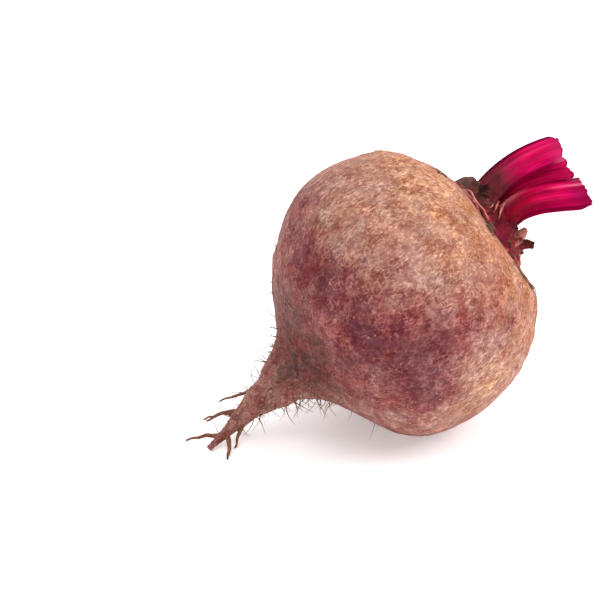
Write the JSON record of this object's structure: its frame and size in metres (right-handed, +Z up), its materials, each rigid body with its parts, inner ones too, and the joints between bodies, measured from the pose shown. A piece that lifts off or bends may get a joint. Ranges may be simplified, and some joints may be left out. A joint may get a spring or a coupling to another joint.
{
  "type": "beetroot",
  "caption": "Round beetroot lying on its side, propped by its thin taproot, with a corky crown and a bundle of cut magenta leaf stalks.",
  "frame": {"origin": "on the table below the middle of the bounding box, at the height of the flat spot that the root rests on", "axes": "+Z up as it lies at rest; +X the level direction towards which the crown and its cut stalks point; the taproot trails towards -X"},
  "size_m": [0.1219, 0.0829, 0.0827],
  "materials": {
    "root_skin": "matt corky skin, tan over burgundy",
    "crown_cork": "dry rough cork, maroon to grey-brown",
    "stalk_flesh": "smooth ribbed magenta flesh with a soft sheen"
  },
  "bodies": {
    "root": {"swollen_root": "root_skin", "crown": "crown_cork", "stalk_upper_front": "stalk_flesh", "stalk_lower_front": "stalk_flesh", "stalk_upper_back": "stalk_flesh", "stalk_lower_back": "stalk_flesh", "stalk_inner": "stalk_flesh"}
  },
  "joints": []
}
